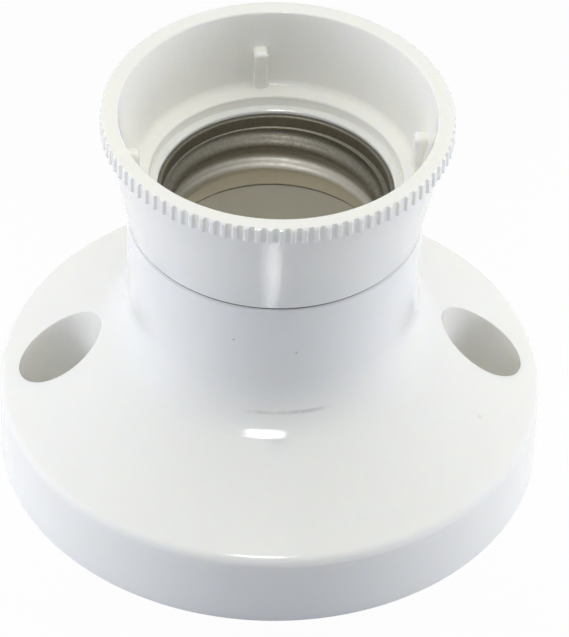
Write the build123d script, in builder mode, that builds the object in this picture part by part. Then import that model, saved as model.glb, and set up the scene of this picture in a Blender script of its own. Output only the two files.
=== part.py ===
from build123d import *
from math import acos, cos, radians, sin, sqrt, tan
import os

os.makedirs("parts", exist_ok=True)

# Round batten lamp holder for a 27 mm screw-cap lamp, standing on its back.
# The back plane is Z = 0, the lamp goes in from +Z and the two fixing wells lie on X.

# Standard sizes
fixing_centres = 50.8
lamp_pitch = 3.629
lamp_crest_r = 12.25
lamp_root_r = 13.35
lamp_crest_trim = 0.04

# Screw shell, which the radii around it follow
sheet = 0.35
lip_overhang = 0.75
lip_gap = 0.05
lip_bend = 0.16
shell_mouth_play = 0.15
shell_mouth_h = 1.2
shell_height = 10.45
shell_skirt_play = 0.05
shell_skirt_h = 2.1
shell_shoulder = 0.9
thread_start_h = 0.38
thread_bite = 0.15
tongue_w = 4.0
tongue_h = 2.4
tongue_angles = (210, 330)

# Base moulding
base_r = 32.65
base_corner_h = 9.9
base_edge_round = 1.5
slope_angle = 35.5
base_foot_edge = 0.4
neck_wall = 1.13
neck_top = 35.95
neck_top_edge = 0.3
neck_blend = 7.5
base_wall = 2.3
hollow_round = 0.8
well_r = 4.95
well_wall = 1.8
well_floor = 3.0
web_t = 1.6
web_low = 6.0
web_gap = 0.5
fixing_hole_r = 2.25

# Screw joint between the neck and the shroud
joint_pitch = 3.0
joint_depth = 0.55
joint_foot = 1.5
joint_crest = 0.85
joint_clearance = 0.15
joint_turns = 1.75
joint_start = 0.1
ridge_bite = 0.25
spigot_play = 0.1
spigot_wall = 1.0
spigot_length = 7.6
spigot_edge = 0.3
seam_gap = 0.15
seam_round = 0.35

# Shroud above the seam
shroud_flare_h = 12.93
shroud_flare = 2.5
shroud_wall = 1.62
rim_band_h = 2.13
rim_band_step = 0.55
rim_wall = 1.75
rim_inner_round = 0.3
rim_rib_count = 96
rim_rib_turn = -1.35
rim_rib_foot = 0.86
rim_rib_crest = 0.38
rim_rib_h = 0.27
rim_rib_root = 0.1
rim_rib_edge = 0.22
mouth_play = 0.47
mouth_h = 5.13
mouth_floor_rise = 0.45
mouth_edge_round = 0.25
bowl_round = 0.9
mouth_depth = 1.33
flange_reach = 0.5
flange_t = 0.5
flange_edge = 0.15
guide_rib_count = 4
guide_rib_w = 1.75
guide_rib_inset = 1.23
guide_rib_h = 5.47
guide_rib_turn = 4.0
guide_rib_side_round = 0.34
guide_rib_top_round = 0.55
catch_count = 3
catch_w = 3.0
catch_h = 0.6
catch_drop = 0.9
catch_reach = 0.3
catch_root = 0.3

# Insert that carries the contacts
insert_gap = 0.25
cup_gap = 0.3
cup_play = 0.15
cup_floor = 19.5
cup_floor_t = 2.5
skirt_t = 2.1
insert_flange_reach = 1.5
insert_flange_t = 2.2
insert_flange_top = 13.7
ear_reach = 4.0
ear_r = 3.2
ear_hole_r = 1.6
key_gap = 0.3
key_w = 1.2
key_reach = 0.8
key_root = 0.5
barrier_t = 1.6
barrier_low = 8.0

# Contacts, rivets and terminals
leaf_t = 0.4
contact_w = 5.0
centre_pivot_x = 9.8
centre_tail = 2.2
centre_flat = 1.7
centre_lift = 1.85
centre_pad = 2.2
centre_rise_end = 2.6
centre_end = 1.0
centre_end_drop = 0.25
centre_bend = 0.6
centre_gap = 0.2
button_r = 2.0
button_h = 0.5
side_w = 4.5
side_pivot_x = -9.6
side_tail = 2.6
side_wall_gap = 0.8
side_toe_reach = 0.1
side_bend = 0.7
rivet_r = 0.95
rivet_hole_r = 1.2
rivet_head_r = 1.5
rivet_head_h = 0.6
rivet_grip = 1.5
pillar_x = 8.2
pillar_size = (7.0, 8.0, 8.5)
pillar_edge = 0.4
wire_hole_r = 1.7
wire_hole_drop = 5.0
wire_entry_extra = 0.3
pocket_gap = 0.2
pocket_wall = 1.2
clamp_screw_r = 1.45
clamp_head_r = 2.6
clamp_head_h = 2.0
clamp_screw_gap = 0.6
clamp_screw_reach = 0.4
screw_edge_share = 0.3
slot_w = 0.7
slot_depth = 0.8
slot_angle = 30.0
insert_screw_r = 1.3
insert_screw_bite = 4.1
insert_screw_gap = 0.3
insert_head_r = 2.7
insert_head_h = 1.9

# Levels and radii that follow from the sizes above
slope = tan(radians(slope_angle))
wall_drop = base_wall / cos(radians(slope_angle))
well_x = fixing_centres / 2
shell_mouth_r = lamp_root_r + shell_mouth_play
shell_skirt_r = lamp_root_r + shell_skirt_play
skirt_outer_r = shell_skirt_r + sheet
lip_r = skirt_outer_r + lip_overhang
spigot_bore_r = lip_r + spigot_play
spigot_core_r = spigot_bore_r + spigot_wall
seam_z = neck_top + seam_gap
spigot_low = seam_z - spigot_length
spigot_crest_r = spigot_core_r + joint_depth
neck_crest_r = spigot_core_r + joint_clearance
neck_root_r = spigot_crest_r + joint_clearance
neck_r = neck_root_r + neck_wall
band_low = seam_z + shroud_flare_h
rim_top = band_low + rim_band_h
flare_top_r = neck_r + shroud_flare
rim_valley_r = flare_top_r + rim_band_step
rim_crest_r = rim_valley_r + rim_rib_h
rim_inner_r = rim_valley_r - rim_wall
mouth_r = lip_r + mouth_play
mouth_z = seam_z + mouth_h
ledge_z = mouth_z - mouth_depth
lip_top = ledge_z - flange_t - lip_gap
flange_inner_r = lip_r - flange_reach
guide_rib_r = mouth_r + guide_rib_inset
catch_inner_r = lip_r - catch_reach
shell_low = lip_top - shell_height
cup_bore_r = skirt_outer_r + cup_play
insert_r = neck_crest_r - insert_gap
insert_flange_r = insert_r + insert_flange_reach
ear_y = insert_r + ear_reach
key_inner_r = cup_bore_r - key_reach
cup_top = spigot_low - cup_gap
cup_under = cup_floor - cup_floor_t
insert_flange_low = insert_flange_top - insert_flange_t
web_inner_y = ear_y + ear_r + web_gap
side_wall_x = -(cup_bore_r - side_wall_gap)
side_toe_x = -(cup_bore_r + side_toe_reach)
button_arc_r = (button_r**2 + button_h**2) / (2 * button_h)
pocket_x = pillar_size[0] + pocket_gap * 2
pocket_y = pillar_size[1] + pocket_gap * 2
housing_x = pocket_x + pocket_wall * 2
housing_y = pocket_y + pocket_wall * 2


def outer_slope_z(radius):
    """Height of the sloping face of the base at a radius, blends apart."""
    return base_corner_h + (base_r - radius) * slope


def flare_r(height):
    """Outer radius of the shroud's flare at a height."""
    return neck_r + (height - seam_z) * shroud_flare / shroud_flare_h


def helical_ridge(foot_r, crest_r, foot_w, crest_w, pitch, low, turns):
    """A thread ridge of trapezoid section, right-handed, that starts on +X."""
    with BuildPart() as ridge:
        with BuildLine(Plane.XY.offset(low)) as path:
            Helix(pitch, pitch * turns, foot_r)
        reach = crest_r - foot_r
        with BuildSketch(Plane(path.line @ 0, x_dir=(1, 0, 0), z_dir=path.line % 0)):
            with BuildLine():
                Polyline(
                    (0, -foot_w / 2),
                    (reach, -crest_w / 2),
                    (reach, crest_w / 2),
                    (0, foot_w / 2),
                    close=True,
                )
            make_face()
        sweep(path=path.line, is_frenet=True)
    return ridge.part


def rolled_thread(offset, low, high):
    """The round lamp thread outside its core, a sheet's offset out from the lamp, from low to high."""
    half_pitch = lamp_pitch / 2
    depth = lamp_root_r - lamp_crest_r + lamp_crest_trim
    thread_round = (half_pitch**2 + depth**2) / (4 * depth)
    crest_round = thread_round - offset
    root_round = thread_round + offset
    foot_r = lamp_crest_r + offset - thread_bite
    crest_centre = lamp_crest_r - lamp_crest_trim + thread_round - foot_r
    root_centre = lamp_root_r - thread_round - foot_r
    flank_angle = acos((crest_centre - root_centre) / (thread_round * 2))
    foot_angle = acos(1 - lamp_crest_trim / 2 / crest_round)
    mid_angle = (flank_angle + foot_angle) / 2
    flank = (root_centre + root_round * cos(flank_angle), root_round * sin(flank_angle))
    mid = (crest_centre - crest_round * cos(mid_angle), half_pitch - crest_round * sin(mid_angle))
    end = (crest_centre - crest_round * cos(foot_angle), half_pitch - crest_round * sin(foot_angle))
    start = shell_low + thread_start_h - lamp_pitch
    with BuildPart() as thread:
        with BuildLine(Plane.XY.offset(start)) as path:
            Helix(lamp_pitch, high - start + lamp_pitch, foot_r)
        with BuildSketch(Plane(path.line @ 0, x_dir=(1, 0, 0), z_dir=path.line % 0)):
            with BuildLine():
                Line((0, -end[1]), (end[0], -end[1]))
                ThreePointArc((end[0], -end[1]), (mid[0], -mid[1]), (flank[0], -flank[1]))
                ThreePointArc((flank[0], -flank[1]), (root_centre + root_round, 0), flank)
                ThreePointArc(flank, mid, end)
                Line(end, (0, end[1]))
                Line((0, end[1]), (0, -end[1]))
            make_face()
        sweep(path=path.line, is_frenet=True)
        with BuildSketch(Plane.XY.offset(low)):
            Circle(lamp_root_r * 2)
        extrude(amount=high - low, mode=Mode.INTERSECT)
    return thread.part


def slotted_screw(x, y, head_low, head_h, head_r, shank_r, shank_top):
    """A screw with a slotted pan head, driven upward from below."""
    with BuildPart() as screw:
        with BuildSketch(Plane.XY.offset(head_low)):
            with Locations((x, y)):
                Circle(head_r)
        extrude(amount=head_h)
        chamfer(screw.edges().group_by(Axis.Z)[0], head_h * screw_edge_share)
        with BuildSketch(Plane.XY.offset(head_low + head_h)):
            with Locations((x, y)):
                Circle(shank_r)
        extrude(amount=shank_top - head_low - head_h)
        chamfer(screw.edges().group_by(Axis.Z)[-1], shank_r * screw_edge_share)
        with BuildSketch(Plane.XY.offset(head_low)):
            with Locations((x, y)):
                Rectangle(head_r * 3, slot_w, rotation=slot_angle)
        extrude(amount=slot_depth, mode=Mode.SUBTRACT)
    return screw.part


# The hollow of the base, less the posts and webs that stand in it
hollow_r = base_r - base_wall
hollow_side_z = outer_slope_z(hollow_r) - wall_drop
hollow_neck_z = outer_slope_z(neck_crest_r) - wall_drop
with BuildPart() as hollow:
    with BuildSketch(Plane.XZ):
        with BuildLine():
            Polyline(
                (0, 0),
                (hollow_r, 0),
                (hollow_r, hollow_side_z),
                (neck_crest_r, hollow_neck_z),
                (neck_crest_r, neck_top),
                (0, neck_top),
                close=True,
            )
        make_face()
        fillet(vertices().sort_by_distance((hollow_r, hollow_side_z))[0], hollow_round)
    revolve(axis=Axis.Z)
    with BuildSketch(Plane.XY):
        with Locations((well_x, 0), (-well_x, 0)):
            Circle(well_r + well_wall)
    extrude(amount=neck_top, mode=Mode.SUBTRACT)
    with BuildSketch(Plane.XY.offset(insert_flange_top)):
        with Locations((0, ear_y), (0, -ear_y)):
            Circle(ear_r)
    extrude(amount=neck_top, mode=Mode.SUBTRACT)
    with BuildSketch(Plane.XY.offset(web_low)):
        for side in (-1, 1):
            with Locations((0, side * (web_inner_y + hollow_r) / 2)):
                Rectangle(web_t, hollow_r - web_inner_y + 1)
    extrude(amount=neck_top, mode=Mode.SUBTRACT)

# Internal thread of the neck, one ridge that starts above the insert
joint_low = spigot_low + joint_foot / 2 + joint_start
neck_ridge_low = joint_low + joint_pitch / 2
neck_ridge_turns = (neck_top - joint_start - joint_foot / 2 - neck_ridge_low) / joint_pitch
neck_ridge = helical_ridge(
    neck_root_r + ridge_bite,
    neck_crest_r,
    joint_foot,
    joint_crest,
    joint_pitch,
    neck_ridge_low,
    neck_ridge_turns,
)

with BuildPart() as base:
    with BuildSketch(Plane.XZ):
        with BuildLine():
            Polyline(
                (0, 0),
                (base_r, 0),
                (base_r, base_corner_h),
                (neck_r, outer_slope_z(neck_r)),
                (neck_r, neck_top),
                (0, neck_top),
                close=True,
            )
        make_face()
        fillet(vertices().sort_by_distance((base_r, base_corner_h))[0], base_edge_round)
        fillet(vertices().sort_by_distance((neck_r, outer_slope_z(neck_r)))[0], neck_blend)
        chamfer(vertices().sort_by_distance((neck_r, neck_top))[0], neck_top_edge)
        chamfer(vertices().sort_by_distance((base_r, 0))[0], base_foot_edge)
    revolve(axis=Axis.Z)
    add(hollow.part, mode=Mode.SUBTRACT)
    with BuildSketch(Plane.XY.offset(well_floor)):
        with Locations((well_x, 0), (-well_x, 0)):
            Circle(well_r)
    extrude(amount=neck_top, mode=Mode.SUBTRACT)
    with BuildSketch(Plane.XY):
        with Locations((well_x, 0), (-well_x, 0)):
            Circle(fixing_hole_r)
    extrude(amount=well_floor, mode=Mode.SUBTRACT)
    with BuildSketch(Plane.XY.offset(insert_flange_top)):
        with Locations((0, ear_y), (0, -ear_y)):
            Circle(insert_screw_r)
    extrude(amount=insert_screw_bite + insert_screw_gap, mode=Mode.SUBTRACT)
    with BuildSketch(Plane.XY.offset(spigot_low - cup_gap)):
        Circle(neck_root_r)
    extrude(amount=neck_top, mode=Mode.SUBTRACT)
    add(neck_ridge)
base.part.label = "base"
export_step(base.part, "parts/base.step")

# External thread of the shroud's spigot, half a pitch off the neck's ridge
spigot_ridge = helical_ridge(
    spigot_core_r - ridge_bite,
    spigot_crest_r,
    joint_foot,
    joint_crest,
    joint_pitch,
    joint_low,
    joint_turns,
)

# One of the ribs that stand up inside the bowl and centre the lamp
with BuildPart() as guide_rib:
    with BuildSketch(Plane.XY.offset(mouth_z)):
        with Locations((guide_rib_r, 0)):
            Rectangle(flare_r(mouth_z) - guide_rib_r, guide_rib_w, align=(Align.MIN, Align.CENTER))
    extrude(amount=guide_rib_h)
    fillet(guide_rib.edges().filter_by(Axis.Z).group_by(Axis.X)[0], guide_rib_side_round)
    fillet(guide_rib.edges().group_by(Axis.Z)[-1], guide_rib_top_round)

# One of the low grip ribs of the rim, bevelled at its top
with BuildPart() as rim_rib:
    with BuildSketch(Plane.XY.offset(band_low)):
        with BuildLine():
            Polyline(
                (rim_valley_r - rim_rib_root, -rim_rib_foot / 2),
                (rim_valley_r, -rim_rib_foot / 2),
                (rim_crest_r, -rim_rib_crest / 2),
                (rim_crest_r, rim_rib_crest / 2),
                (rim_valley_r, rim_rib_foot / 2),
                (rim_valley_r - rim_rib_root, rim_rib_foot / 2),
                close=True,
            )
        make_face()
    extrude(amount=rim_band_h)
    chamfer(rim_rib.edges().group_by(Axis.Z)[-1].sort_by(Axis.X)[-1], rim_rib_edge)

with BuildPart() as shroud:
    with BuildSketch(Plane.XZ):
        with BuildLine():
            Polyline(
                (spigot_bore_r, spigot_low),
                (spigot_core_r, spigot_low),
                (spigot_core_r, seam_z),
                (neck_r, seam_z),
                (flare_top_r, band_low),
                (rim_valley_r, band_low),
                (rim_valley_r, rim_top),
                (rim_inner_r, rim_top),
                (flare_r(mouth_z) - shroud_wall, mouth_z + mouth_floor_rise),
                (mouth_r, mouth_z),
                (mouth_r, ledge_z),
                (flange_inner_r, ledge_z),
                (flange_inner_r, ledge_z - flange_t),
                (spigot_bore_r, ledge_z - flange_t),
                close=True,
            )
        make_face()
        bowl_corner = (flare_r(mouth_z) - shroud_wall, mouth_z + mouth_floor_rise)
        fillet(vertices().sort_by_distance(bowl_corner)[0], bowl_round)
        fillet(vertices().sort_by_distance((neck_r, seam_z))[0], seam_round)
        fillet(vertices().sort_by_distance((rim_inner_r, rim_top))[0], rim_inner_round)
        fillet(vertices().sort_by_distance((mouth_r, mouth_z))[0], mouth_edge_round)
        chamfer(vertices().sort_by_distance((flange_inner_r, ledge_z))[0], flange_edge)
        chamfer(vertices().sort_by_distance((spigot_core_r, spigot_low))[0], spigot_edge)
    revolve(axis=Axis.Z)
    with PolarLocations(0, rim_rib_count, start_angle=rim_rib_turn):
        add(rim_rib.part)
    with PolarLocations(0, guide_rib_count, start_angle=guide_rib_turn):
        add(guide_rib.part)
    with BuildSketch(Plane.XY.offset(lip_top - catch_drop - catch_h)):
        with PolarLocations(catch_inner_r, catch_count, start_angle=90):
            Rectangle(
                spigot_bore_r - catch_inner_r + catch_root,
                catch_w,
                align=(Align.MIN, Align.CENTER),
            )
    extrude(amount=catch_h)
    add(spigot_ridge)
shroud.part.label = "shroud"
export_step(shroud.part, "parts/shroud.step")

# Screw shell, rolled from one sheet: an outer form less the same form one sheet smaller
thread_high = lip_top - sheet - shell_mouth_h - shell_shoulder
thread_low = shell_low + shell_skirt_h + shell_shoulder
thread_cut_low = shell_low + shell_skirt_h / 2
thread_cut_high = lip_top - sheet - shell_mouth_h / 2
outer_thread = rolled_thread(sheet, thread_cut_low, thread_cut_high)
inner_thread = rolled_thread(0, thread_cut_low, thread_cut_high)
with BuildPart() as shell_bore:
    with BuildSketch(Plane.XZ):
        with BuildLine():
            Polyline(
                (0, shell_low - tongue_h - 1),
                (shell_skirt_r, shell_low - tongue_h - 1),
                (shell_skirt_r, shell_low + shell_skirt_h),
                (lamp_crest_r, thread_low),
                (lamp_crest_r, thread_high),
                (shell_mouth_r, lip_top - sheet - shell_mouth_h),
                (shell_mouth_r, lip_top),
                (lip_r + 1, lip_top),
                (lip_r + 1, lip_top + 1),
                (0, lip_top + 1),
                close=True,
            )
        make_face()
        fillet(vertices().sort_by_distance((shell_mouth_r, lip_top))[0], lip_bend)
    revolve(axis=Axis.Z)
    add(inner_thread)

with BuildPart() as screw_shell:
    with BuildSketch(Plane.XZ):
        with BuildLine():
            Polyline(
                (0, shell_low),
                (shell_skirt_r + sheet, shell_low),
                (shell_skirt_r + sheet, shell_low + shell_skirt_h),
                (lamp_crest_r + sheet, thread_low),
                (lamp_crest_r + sheet, thread_high),
                (shell_mouth_r + sheet, lip_top - sheet - shell_mouth_h),
                (shell_mouth_r + sheet, lip_top - sheet),
                (lip_r, lip_top - sheet),
                (lip_r, lip_top),
                (0, lip_top),
                close=True,
            )
        make_face()
    revolve(axis=Axis.Z)
    with BuildSketch(Plane.XY.offset(shell_low)):
        with PolarLocations(shell_skirt_r + sheet, len(tongue_angles), start_angle=tongue_angles[0],
                            angular_range=tongue_angles[1] - tongue_angles[0], endpoint=True):
            Rectangle(2, tongue_w, align=(Align.MAX, Align.CENTER))
        Circle(shell_skirt_r + sheet, mode=Mode.INTERSECT)
    extrude(amount=-tongue_h)
    add(outer_thread)
    add(shell_bore.part, mode=Mode.SUBTRACT)
screw_shell.part.label = "screw_shell"
export_step(screw_shell.part, "parts/screw_shell.step")

# Insert: a cup above its floor, a skirt and a flange with two screw ears below
with BuildPart() as insert:
    with BuildSketch(Plane.XZ):
        with BuildLine():
            Polyline(
                (0, cup_under),
                (insert_r - skirt_t, cup_under),
                (insert_r - skirt_t, insert_flange_low),
                (insert_flange_r, insert_flange_low),
                (insert_flange_r, insert_flange_top),
                (insert_r, insert_flange_top),
                (insert_r, cup_top),
                (cup_bore_r, cup_top),
                (cup_bore_r, cup_floor),
                (0, cup_floor),
                close=True,
            )
        make_face()
    revolve(axis=Axis.Z)
    with BuildSketch(Plane.XY.offset(insert_flange_low)):
        with Locations((0, ear_y), (0, -ear_y)):
            Circle(ear_r)
        with Locations((0, (insert_r + ear_y) / 2), (0, -(insert_r + ear_y) / 2)):
            Rectangle(ear_r * 2, ear_y - insert_r)
        with Locations((0, ear_y), (0, -ear_y)):
            Circle(ear_hole_r, mode=Mode.SUBTRACT)
    extrude(amount=insert_flange_t)
    with BuildSketch(Plane.XY.offset(barrier_low)):
        Rectangle(barrier_t, (insert_r - skirt_t) * 2)
    extrude(amount=cup_under - barrier_low)
    with BuildSketch(Plane.XY.offset(cup_under)):
        with Locations((pillar_x, 0), (-pillar_x, 0)):
            Rectangle(housing_x, housing_y)
            Rectangle(pocket_x, pocket_y, mode=Mode.SUBTRACT)
    extrude(amount=-pillar_size[2])
    with BuildSketch(Plane.XZ):
        with Locations((pillar_x, cup_under - wire_hole_drop), (-pillar_x, cup_under - wire_hole_drop)):
            Circle(wire_hole_r + wire_entry_extra)
    extrude(amount=housing_y / 2 + pocket_gap, both=True, mode=Mode.SUBTRACT)
    with BuildSketch(Plane.XY.offset(cup_floor)):
        for angle in tongue_angles:
            for side in (-1, 1):
                key_y = side * (tongue_w / 2 + key_gap + key_w / 2)
                with PolarLocations(key_inner_r, 1, start_angle=angle):
                    with Locations((0, key_y)):
                        Rectangle(key_reach + key_root, key_w, align=(Align.MIN, Align.CENTER))
    extrude(amount=cup_top - cup_floor)
    with BuildSketch(Plane.XY.offset(cup_under)):
        with Locations((centre_pivot_x, 0), (side_pivot_x, 0)):
            Circle(rivet_r)
    extrude(amount=cup_floor_t, mode=Mode.SUBTRACT)
insert.part.label = "insert"
export_step(insert.part, "parts/insert.step")

# Centre contact: a sprung leaf that rises from its rivet to a button under the lamp
leaf_z = cup_floor + centre_gap + leaf_t / 2
button_z = leaf_z + centre_lift
with BuildPart() as centre_contact:
    with BuildSketch(Plane.XZ):
        with BuildLine():
            FilletPolyline(
                (centre_pivot_x + centre_tail, leaf_z),
                (centre_pivot_x - centre_flat, leaf_z),
                (centre_rise_end, button_z),
                (-centre_pad, button_z),
                (-centre_pad - centre_end, button_z - centre_end_drop),
                radius=centre_bend,
            )
        trace(line_width=leaf_t)
    extrude(amount=contact_w / 2, both=True)
    with BuildSketch(Plane.XZ):
        with BuildLine():
            Line((0, button_z), (button_r, button_z))
            Line((button_r, button_z), (button_r, button_z + leaf_t / 2))
            button_mid_h = sqrt(button_arc_r**2 - (button_r / 2) ** 2) - button_arc_r + button_h
            ThreePointArc(
                (button_r, button_z + leaf_t / 2),
                (button_r / 2, button_z + leaf_t / 2 + button_mid_h),
                (0, button_z + leaf_t / 2 + button_h),
            )
            Line((0, button_z + leaf_t / 2 + button_h), (0, button_z))
        make_face()
    revolve(axis=Axis.Z)
    with BuildSketch(Plane.XY.offset(cup_floor)):
        with Locations((centre_pivot_x, 0)):
            Circle(rivet_hole_r)
    extrude(amount=centre_gap + leaf_t * 2, mode=Mode.SUBTRACT)
centre_contact.part.label = "centre_contact"
export_step(centre_contact.part, "parts/centre_contact.step")

# Side contact: a leaf up the cup's wall whose toe carries the lower edge of the shell
side_z = cup_floor + leaf_t / 2
toe_z = shell_low - leaf_t / 2
with BuildPart() as side_contact:
    with BuildSketch(Plane.XZ):
        with BuildLine():
            FilletPolyline(
                (side_pivot_x + side_tail, side_z),
                (side_wall_x, side_z),
                (side_wall_x, toe_z),
                (side_toe_x, toe_z),
                radius=side_bend,
            )
        trace(line_width=leaf_t)
    extrude(amount=side_w / 2, both=True)
    with BuildSketch(Plane.XY.offset(cup_floor)):
        with Locations((side_pivot_x, 0)):
            Circle(rivet_r)
    extrude(amount=leaf_t, mode=Mode.SUBTRACT)
side_contact.part.label = "side_contact"
export_step(side_contact.part, "parts/side_contact.step")


def rivet(x, head_low):
    """A round-headed rivet from above a contact leaf into the terminal pillar."""
    with BuildPart() as piece:
        with BuildSketch(Plane.XY.offset(cup_under - rivet_grip)):
            with Locations((x, 0)):
                Circle(rivet_r)
        extrude(amount=head_low - cup_under + rivet_grip)
        with BuildSketch(Plane.XY.offset(head_low)):
            with Locations((x, 0)):
                Circle(rivet_head_r)
        extrude(amount=rivet_head_h)
        chamfer(piece.edges().group_by(Axis.Z)[-1], rivet_head_h / 2)
    return piece.part


def terminal(x, rivet_x):
    """A brass pillar with a wire hole along Y and a tapped hole from below."""
    with BuildPart() as piece:
        with BuildSketch(Plane.XY.offset(cup_under)):
            with Locations((x, 0)):
                Rectangle(pillar_size[0], pillar_size[1])
        extrude(amount=-pillar_size[2])
        chamfer(piece.edges().filter_by(Axis.Z), pillar_edge)
        with BuildSketch(Plane.XZ):
            with Locations((x, cup_under - wire_hole_drop)):
                Circle(wire_hole_r)
        extrude(amount=pillar_size[1], both=True, mode=Mode.SUBTRACT)
        with BuildSketch(Plane.XY.offset(cup_under - pillar_size[2])):
            with Locations((x, 0)):
                Circle(clamp_screw_r)
        extrude(amount=pillar_size[2] - wire_hole_drop, mode=Mode.SUBTRACT)
        with BuildSketch(Plane.XY.offset(cup_under)):
            with Locations((rivet_x, 0)):
                Circle(rivet_r)
        extrude(amount=-rivet_grip, mode=Mode.SUBTRACT)
    return piece.part


circuits = {
    "live": (pillar_x, centre_pivot_x, leaf_z + leaf_t / 2 + centre_gap),
    "neutral": (-pillar_x, side_pivot_x, cup_floor + leaf_t),
}
for circuit, (x, rivet_x, head_low) in circuits.items():
    rivet_part = rivet(rivet_x, head_low)
    rivet_part.label = circuit + "_rivet"
    export_step(rivet_part, "parts/" + circuit + "_rivet.step")

    terminal_part = terminal(x, rivet_x)
    terminal_part.label = circuit + "_terminal"
    export_step(terminal_part, "parts/" + circuit + "_terminal.step")

    screw_part = slotted_screw(
        x,
        0,
        cup_under - pillar_size[2] - clamp_screw_gap - clamp_head_h,
        clamp_head_h,
        clamp_head_r,
        clamp_screw_r,
        cup_under - wire_hole_drop - wire_hole_r + clamp_screw_reach,
    )
    screw_part.label = circuit + "_terminal_screw"
    export_step(screw_part, "parts/" + circuit + "_terminal_screw.step")

# The two screws that hold the insert to the posts of the base
with BuildPart() as insert_screws:
    for side in (-1, 1):
        add(
            slotted_screw(
                0,
                side * ear_y,
                insert_flange_low - insert_head_h,
                insert_head_h,
                insert_head_r,
                insert_screw_r,
                insert_flange_top + insert_screw_bite,
            )
        )
insert_screws.part.label = "insert_screws"
export_step(insert_screws.part, "parts/insert_screws.step")
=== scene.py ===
"""Looks of the ceiling lamp holder: finishes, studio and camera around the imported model."""
from math import cos, pi, radians, sin

import bpy
from mathutils import Matrix, Vector

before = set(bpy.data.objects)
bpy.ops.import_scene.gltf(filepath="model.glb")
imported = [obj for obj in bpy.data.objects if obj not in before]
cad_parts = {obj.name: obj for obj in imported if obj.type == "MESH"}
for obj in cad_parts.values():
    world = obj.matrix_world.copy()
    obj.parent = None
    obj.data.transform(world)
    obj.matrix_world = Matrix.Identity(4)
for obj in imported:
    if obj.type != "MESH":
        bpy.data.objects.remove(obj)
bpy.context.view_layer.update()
MM = 0.001

# Camera, fitted to the photograph: millimetres and degrees about the holder's own centre
CAMERA_DISTANCE = 683.8
CAMERA_ELEVATION = 41.863
CAMERA_ROLL = 1.879
CAMERA_LIFT = 20.0
TARGET_RIGHT = 1.522
TARGET_HEIGHT = 19.092
HOLDER_TURN = 3.72
LENS = 322.18
SENSOR = 36.0
CLIP_START, CLIP_END = 0.05, 20

# Soft lights round the holder: degrees to the right of its front, degrees up, and colour
SOFT_EDGE = 16
SOFT_LIGHTS = (
    (90, 8, (5.0, 5.2, 6.2)),
    (-90, 8, (5.0, 5.2, 6.2)),
    (90, 35, (1.2, 1.2, 0.9)),
    (-90, 35, (1.3, 1.3, 1.0)),
    (115, 60, (1.4, 1.4, 1.3)),
    (-130, 60, (1.3, 1.3, 1.2)),
    (0, 90, (1.5, 1.45, 1.2)),
    (0, 60, (1.1, 1.1, 1.0)),
    (0, 35, (0.2, 0.25, 0.4)),
    (-40, 35, (0.3, 0.35, 0.5)),
)

# Compact key light, in metres and degrees: how bright it is in highlights, and on surfaces
KEY_AZIMUTH = -6.5
KEY_ELEVATION = 55.5
KEY_DISTANCE = 1.0
KEY_SIZE = (0.26, 0.12)
KEY_GLOSS = 24.0
KEY_LIGHT = 1.5

# Small light at the foot of the holder, seen only in the shroud's sheen, in millimetres and degrees
STREAK_PLACE = (-3.0, -40.0, 1.0)
STREAK_TARGET = (-1.2, -19.3, 43.0)
STREAK_SIZE = (3.6, 6.0)
STREAK_SPREAD = 30
STREAK_GLOSS = 0.5

# Floor, in metres, a hair below the foot so that the two don't coincide
FLOOR_SIZE = 6.0
FLOOR_LEVEL = -0.02 * MM
# Floor colours as painted shade: darker and bluer in front of the holder than at its sides
FLOOR_FRONT = (0.38, 0.40, 0.46)
FLOOR_SIDES = (0.85, 0.86, 0.90)
FLOOR_WHITE = 0.97

# Specks on the base, in millimetres in its own frame: place, radius and strength
DOT = ((-5.48, -16.54, 30.69), 0.13, 0.85)
NICK = ((1.90, -17.32, 29.2), 0.22, 0.35)
CHIP = ((24.4, -12.1, 13.6), 0.45, 0.12)

# Painted shadow line round the front of the neck's foot, partly also scuffed, in millimetres and degrees
# from +X
SHADE_SCUFF_HEIGHT = 20.75
SHADE_SCUFF_WIDTH = 0.26
SHADE_SCUFF_FROM, SHADE_SCUFF_TO = -104.0, -70.0
SHADE_SCUFF_STRENGTH = (0.08, 0.3)
SHADE_SCUFF_BREAKS_PER_MM = 0.5

# Painted shade in the joint between shroud and neck: its height, half width and strength
SEAM_HEIGHT = 36.1
SEAM_REACH = 0.24
SEAM_STRENGTH = 0.85
# Colour of the painted shade and of the specks on the base
DIRT_AND_SHADE = (0.16, 0.14, 0.12)

# Plastic: how far light spreads inside it, in millimetres, and how fine its unevenness is
PLASTIC_IOR = 1.5
GLOW_COLOUR = (1.0, 0.85, 0.6)
GLOW_REACH = 1.5
PLASTIC_TONE_PER_MM = 0.12
PLASTIC_SHEEN_PER_MM = 0.8
PLASTIC_GRAIN_PER_MM = 3.5

# Metal, and the heights between which the shell goes from a painted reflection, bright toward its foot, to
# its own dull colour
METAL_SHEEN_PER_MM = 1.5
PAINTED_REFLECTION_HEIGHTS = (30.5, 35.5)


def turned(x, y, z):
    """A point of the camera's frame, in the holder's own frame."""
    return Matrix.Rotation(radians(-HOLDER_TURN), 3, "Z") @ Vector((x, y, z))


def heading(azimuth, elevation):
    """The direction so many degrees to the right of the holder's front and so many up."""
    across, up = radians(azimuth), radians(elevation)
    return Vector((sin(across) * cos(up), -cos(across) * cos(up), sin(up)))


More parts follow.
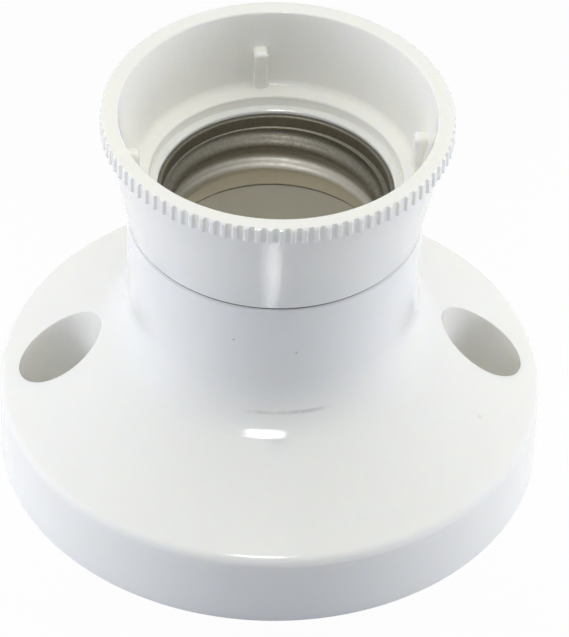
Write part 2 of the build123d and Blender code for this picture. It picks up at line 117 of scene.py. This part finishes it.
def add_camera():
    """The camera that took the photograph."""
    elevation = radians(CAMERA_ELEVATION)
    eye = turned(
        0,
        -CAMERA_DISTANCE * cos(elevation),
        CAMERA_DISTANCE * sin(elevation) + CAMERA_LIFT,
    )
    forward = (turned(TARGET_RIGHT, 0, TARGET_HEIGHT) - eye).normalized()
    right = forward.cross(Vector((0, 0, 1))).normalized()
    up = right.cross(forward)
    roll = radians(CAMERA_ROLL)
    rolled_right = right * cos(roll) + up * sin(roll)
    rolled_up = up * cos(roll) - right * sin(roll)
    data = bpy.data.cameras.new("photo_camera")
    data.lens = LENS
    data.sensor_width = SENSOR
    data.clip_start = CLIP_START
    data.clip_end = CLIP_END
    camera = bpy.data.objects.new("photo_camera", data)
    bpy.context.scene.collection.objects.link(camera)
    axes = Matrix((rolled_right, rolled_up, -forward)).transposed()
    camera.matrix_world = Matrix.Translation(eye * MM) @ axes.to_4x4()
    bpy.context.scene.camera = camera


def nodes_of(owner):
    """The emptied node tree of a material or world."""
    owner.use_nodes = True
    owner.node_tree.nodes.clear()
    return owner.node_tree


def place(tree, kind, **values):
    """A new node with its named inputs and properties set."""
    node = tree.nodes.new(kind)
    for key, value in values.items():
        if key in node.inputs:
            node.inputs[key].default_value = value
        else:
            setattr(node, key, value)
    return node


def math_node(tree, operation, *values):
    """A maths node on sockets or constants."""
    node = place(tree, "ShaderNodeMath", operation=operation)
    for index, value in enumerate(values):
        if isinstance(value, (int, float)):
            node.inputs[index].default_value = value
        else:
            tree.links.new(value, node.inputs[index])
    return node.outputs[0]


def millimetres(tree):
    """The object's own coordinates, in millimetres."""
    coordinate = place(tree, "ShaderNodeTexCoord")
    scale = place(tree, "ShaderNodeMapping")
    scale.inputs["Scale"].default_value = (1 / MM, 1 / MM, 1 / MM)
    tree.links.new(coordinate.outputs["Object"], scale.inputs["Vector"])
    return scale.outputs["Vector"]


def parts_of(tree, vector):
    """The X, Y and Z of a vector."""
    axes = place(tree, "ShaderNodeSeparateXYZ")
    tree.links.new(vector, axes.inputs["Vector"])
    return axes.outputs["X"], axes.outputs["Y"], axes.outputs["Z"]


def noise(tree, vector, per_mm, detail=3.0, roughness=0.55):
    """Cloudy noise with so many features to the millimetre."""
    node = place(tree, "ShaderNodeTexNoise", Scale=per_mm, Detail=detail, Roughness=roughness)
    tree.links.new(vector, node.inputs["Vector"])
    return node.outputs["Fac"]


def spread(tree, value, low, high, from_low=0.3, from_high=0.7):
    """A value brought from one range, as a rule a noise's own, to the range low to high."""
    node = place(tree, "ShaderNodeMapRange")
    node.inputs["From Min"].default_value = from_low
    node.inputs["From Max"].default_value = from_high
    node.inputs["To Min"].default_value = low
    node.inputs["To Max"].default_value = high
    tree.links.new(value, node.inputs["Value"])
    return node.outputs["Result"]


def apart(tree, value, middle):
    """How far a value is from a middle, either way."""
    return math_node(tree, "ABSOLUTE", math_node(tree, "SUBTRACT", value, middle))


def blended(tree, factor, first, second):
    """A mix of two colours, each a constant or a socket, by a factor."""
    node = place(tree, "ShaderNodeMix", data_type="RGBA")
    for name, colour in (("A", first), ("B", second)):
        if isinstance(colour, tuple):
            node.inputs[name].default_value = (*colour, 1)
        else:
            tree.links.new(colour, node.inputs[name])
    tree.links.new(factor, node.inputs["Factor"])
    return node.outputs["Result"]


def surface_from(tree, kind, shader):
    """Joins a shader to the output of a material or world."""
    output = place(tree, kind)
    tree.links.new(shader, output.inputs["Surface"])


def finish_material(tree, shader, colour, roughness, height, bump_mm):
    """Joins a shader to its colour, roughness and bump, and to the output."""
    bump = place(tree, "ShaderNodeBump", Strength=1.0)
    bump.inputs["Distance"].default_value = bump_mm * MM
    tree.links.new(height, bump.inputs["Height"])
    tree.links.new(bump.outputs["Normal"], shader.inputs["Normal"])
    tree.links.new(colour, shader.inputs["Base Color"])
    tree.links.new(roughness, shader.inputs["Roughness"])
    surface_from(tree, "ShaderNodeOutputMaterial", shader.outputs["BSDF"])


def spot(tree, vector, centre, radius, strength):
    """A small soft spot round a point."""
    distance = place(tree, "ShaderNodeVectorMath", operation="DISTANCE")
    tree.links.new(vector, distance.inputs[0])
    distance.inputs[1].default_value = centre
    return spread(tree, distance.outputs["Value"], strength, 0, radius * 0.4, radius)


def shade_and_scuff(tree, vector):
    """A thin dark line round the front of the neck's foot, uneven by noise: painted shadow in the crease
    there, where the surface is also scuffed.
    """
    x, y, z = parts_of(tree, vector)
    bearing = math_node(tree, "ARCTAN2", y, x)
    middle = radians((SHADE_SCUFF_FROM + SHADE_SCUFF_TO) / 2)
    reach = radians((SHADE_SCUFF_TO - SHADE_SCUFF_FROM) / 2)
    along = spread(tree, apart(tree, bearing, middle), 1, 0, reach * 0.6, reach)
    across = spread(tree, apart(tree, z, SHADE_SCUFF_HEIGHT), 1, 0, SHADE_SCUFF_WIDTH * 0.3, SHADE_SCUFF_WIDTH)
    broken = spread(tree, noise(tree, vector, SHADE_SCUFF_BREAKS_PER_MM), *SHADE_SCUFF_STRENGTH, 0.35, 0.65)
    return math_node(tree, "MULTIPLY", math_node(tree, "MULTIPLY", along, across), broken)


def seam_shade(tree, vector):
    """Painted shade in the joint between shroud and neck, on the faces that meet there."""
    height = parts_of(tree, vector)[2]
    return spread(tree, apart(tree, height, SEAM_HEIGHT), SEAM_STRENGTH, 0, SEAM_REACH * 0.75, SEAM_REACH)


def specks_and_shade(tree, vector):
    """How much of the base's surface is darkened: painted shade in the joint and along the front of the
    neck's foot, where it is also scuffed, and three specks.
    """
    total = math_node(tree, "MAXIMUM", seam_shade(tree, vector), shade_and_scuff(tree, vector))
    for centre, radius, strength in (DOT, NICK, CHIP):
        total = math_node(tree, "MAXIMUM", total, spot(tree, vector, centre, radius, strength))
    return total


def plastic(name, pale, deep, sheen, grain_mm, glow, stain_and_shade=None):
    """Moulded plastic: a nearly even colour, light that spreads inside it, a sheen and a fine grain."""
    material = bpy.data.materials.new(name)
    tree = nodes_of(material)
    where = millimetres(tree)
    shader = place(tree, "ShaderNodeBsdfPrincipled", IOR=PLASTIC_IOR)
    shader.inputs["Subsurface Weight"].default_value = glow
    shader.inputs["Subsurface Radius"].default_value = GLOW_COLOUR
    shader.inputs["Subsurface Scale"].default_value = GLOW_REACH * MM
    colour = blended(tree, spread(tree, noise(tree, where, PLASTIC_TONE_PER_MM), 0, 1), pale, deep)
    # Where a part has one, its mask of painted shade and specks darkens the colour
    if stain_and_shade:
        colour = blended(tree, stain_and_shade(tree, where), colour, DIRT_AND_SHADE)
    roughness = spread(tree, noise(tree, where, PLASTIC_SHEEN_PER_MM), *sheen)
    grain = noise(tree, where, PLASTIC_GRAIN_PER_MM, 2.0)
    finish_material(tree, shader, colour, roughness, grain, grain_mm)
    return material


def metal(name, pale, deep, sheen, grain_per_mm, grain_mm, bright=None):
    """Plated or bare metal with a fine uneven surface, which may have a painted reflection that makes it
    brighter toward its foot.
    """
    material = bpy.data.materials.new(name)
    tree = nodes_of(material)
    where = millimetres(tree)
    shader = place(tree, "ShaderNodeBsdfPrincipled", Metallic=1.0)
    grain = noise(tree, where, grain_per_mm, 4.0, 0.65)
    colour = blended(tree, spread(tree, grain, 0, 1), pale, deep)
    if bright:
        height = parts_of(tree, where)[2]
        colour = blended(tree, spread(tree, height, 1, 0, *PAINTED_REFLECTION_HEIGHTS), colour, bright)
    roughness = spread(tree, noise(tree, where, METAL_SHEEN_PER_MM), *sheen)
    finish_material(tree, shader, colour, roughness, grain, grain_mm)
    return material


def dress(material, *names):
    """Gives CAD nodes a material."""
    for name in names:
        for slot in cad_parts[name].material_slots:
            slot.link = "OBJECT"
            slot.material = material


def add_finishes():
    """Makes each finish and gives it to its nodes."""
    white = {"pale": (0.95, 0.94, 0.905), "deep": (0.94, 0.93, 0.895), "glow": 0.45}
    base = plastic("white_moulding", **white, sheen=(0.07, 0.11), grain_mm=0.012, stain_and_shade=specks_and_shade)
    shroud = plastic("white_shroud", **white, sheen=(0.05, 0.08), grain_mm=0.035, stain_and_shade=seam_shade)
    ivory = plastic(
        "white_insert", (0.84, 0.82, 0.76), (0.82, 0.80, 0.74), sheen=(0.40, 0.52), grain_mm=0.02, glow=0.0
    )
    # The shell's colour is kept dark partly as painted shade, for the dim surroundings it reflects, and
    # partly for its dull plating
    nickel = metal(
        "nickel_shell",
        (0.26, 0.245, 0.205),
        (0.19, 0.18, 0.15),
        sheen=(0.48, 0.60),
        grain_per_mm=3.0,
        grain_mm=0.03,
        # Painted reflection of the lit cavity floor on the shell's plain foot
        bright=(0.80, 0.77, 0.70),
    )
    brass = metal("brass", (0.80, 0.62, 0.32), (0.70, 0.52, 0.25), (0.25, 0.38), 1.5, 0.01)
    zinc = metal("zinc", (0.66, 0.66, 0.64), (0.55, 0.55, 0.53), (0.25, 0.40), 2.0, 0.01)
    dress(base, "base")
    dress(shroud, "shroud")
    dress(ivory, "insert")
    dress(nickel, "screw_shell")
    dress(brass, "centre_contact", "side_contact", "live_terminal", "neutral_terminal")
    dress(brass, "live_rivet", "neutral_rivet")
    dress(zinc, "live_terminal_screw", "neutral_terminal_screw", "insert_screws")


def seen(tree):
    """One for what is looked at, straight, mirrored or through glass, and nought for light on surfaces."""
    path = place(tree, "ShaderNodeLightPath")
    mirrored = math_node(tree, "MAXIMUM", path.outputs["Is Glossy Ray"], path.outputs["Is Transmission Ray"])
    return math_node(tree, "MAXIMUM", path.outputs["Is Camera Ray"], mirrored)


def add_floor():
    """A pale floor that looks all but white and keeps a faint shadow.

    Its colour is painted darker and bluer in front of the holder than at its sides, as painted shade, so
    that it throws back more light at the sides than in front of it.
    """
    half = FLOOR_SIZE / 2
    mesh = bpy.data.meshes.new("floor")
    corners = [(x, y, FLOOR_LEVEL) for x, y in ((-half, -half), (half, -half), (half, half), (-half, half))]
    mesh.from_pydata(corners, [], [(0, 1, 2, 3)])
    floor = bpy.data.objects.new("floor", mesh)
    bpy.context.scene.collection.objects.link(floor)
    material = bpy.data.materials.new("floor")
    tree = nodes_of(material)
    coordinate = place(tree, "ShaderNodeTexCoord")
    outward = place(tree, "ShaderNodeVectorMath", operation="NORMALIZE")
    tree.links.new(coordinate.outputs["Object"], outward.inputs[0])
    x = parts_of(tree, outward.outputs["Vector"])[0]
    aside = math_node(tree, "POWER", math_node(tree, "ABSOLUTE", x), 2)
    pale = place(tree, "ShaderNodeBsdfDiffuse")
    tree.links.new(blended(tree, aside, FLOOR_FRONT, FLOOR_SIDES), pale.inputs["Color"])
    white = place(tree, "ShaderNodeEmission", Strength=1.0)
    mix = place(tree, "ShaderNodeMixShader")
    tree.links.new(math_node(tree, "MULTIPLY", seen(tree), FLOOR_WHITE), mix.inputs["Fac"])
    tree.links.new(pale.outputs[0], mix.inputs[1])
    tree.links.new(white.outputs[0], mix.inputs[2])
    surface_from(tree, "ShaderNodeOutputMaterial", mix.outputs[0])
    floor.data.materials.append(material)


def soft_light(tree, direction, azimuth, elevation, colour):
    """One soft light of the world: bright toward its middle, with a wide even fall to its edge."""
    facing = place(tree, "ShaderNodeVectorMath", operation="DOT_PRODUCT")
    tree.links.new(direction, facing.inputs[0])
    facing.inputs[1].default_value = heading(azimuth, elevation)
    fall = math_node(tree, "POWER", math_node(tree, "MAXIMUM", facing.outputs["Value"], 0), SOFT_EDGE)
    light = place(tree, "ShaderNodeBackground", Color=(*colour, 1))
    tree.links.new(fall, light.inputs["Strength"])
    return light.outputs[0]


def add_world():
    """White to the camera and in reflections. The soft lights in it light the holder."""
    world = bpy.data.worlds.new("studio")
    bpy.context.scene.world = world
    tree = nodes_of(world)
    direction = place(tree, "ShaderNodeTexCoord").outputs["Generated"]
    lit = place(tree, "ShaderNodeBackground", Strength=0.0).outputs[0]
    for azimuth, elevation, colour in SOFT_LIGHTS:
        total = place(tree, "ShaderNodeAddShader")
        tree.links.new(lit, total.inputs[0])
        tree.links.new(soft_light(tree, direction, azimuth, elevation, colour), total.inputs[1])
        lit = total.outputs[0]
    white = place(tree, "ShaderNodeBackground", Strength=1.0)
    mix = place(tree, "ShaderNodeMixShader")
    tree.links.new(seen(tree), mix.inputs["Fac"])
    tree.links.new(lit, mix.inputs[1])
    tree.links.new(white.outputs[0], mix.inputs[2])
    surface_from(tree, "ShaderNodeOutputWorld", mix.outputs[0])


def add_area_light(name, centre, facing, size, radiance):
    """A rectangular light at a place, with its back toward the direction facing, sized in metres."""
    data = bpy.data.lights.new(name, "AREA")
    data.shape = "RECTANGLE"
    data.size, data.size_y = size
    data.energy = radiance * pi * size[0] * size[1]
    light = bpy.data.objects.new(name, data)
    bpy.context.scene.collection.objects.link(light)
    turn = facing.to_track_quat("Z", "Y").to_matrix().to_4x4()
    light.matrix_world = Matrix.Translation(centre) @ turn
    return light


def add_key():
    """The key light: one light that only makes highlights, and a weaker one that only lights surfaces."""
    toward = heading(KEY_AZIMUTH, KEY_ELEVATION)
    centre = toward * KEY_DISTANCE
    highlights = add_area_light("key_highlights", centre, toward, KEY_SIZE, KEY_GLOSS)
    highlights.visible_diffuse = False
    surfaces = add_area_light("key_light", centre, toward, KEY_SIZE, KEY_LIGHT)
    surfaces.visible_glossy = False


def add_streak():
    """The small light whose image is the narrow streak on the front of the shroud."""
    here, there = Vector(STREAK_PLACE) * MM, Vector(STREAK_TARGET) * MM
    size = (STREAK_SIZE[0] * MM, STREAK_SIZE[1] * MM)
    streak = add_area_light("streak", here, here - there, size, STREAK_GLOSS)
    streak.data.spread = radians(STREAK_SPREAD)
    streak.visible_camera = False
    streak.visible_diffuse = False


add_camera()
add_finishes()
add_floor()
add_world()
add_key()
add_streak()

bpy.context.scene.view_settings.view_transform = "Standard"
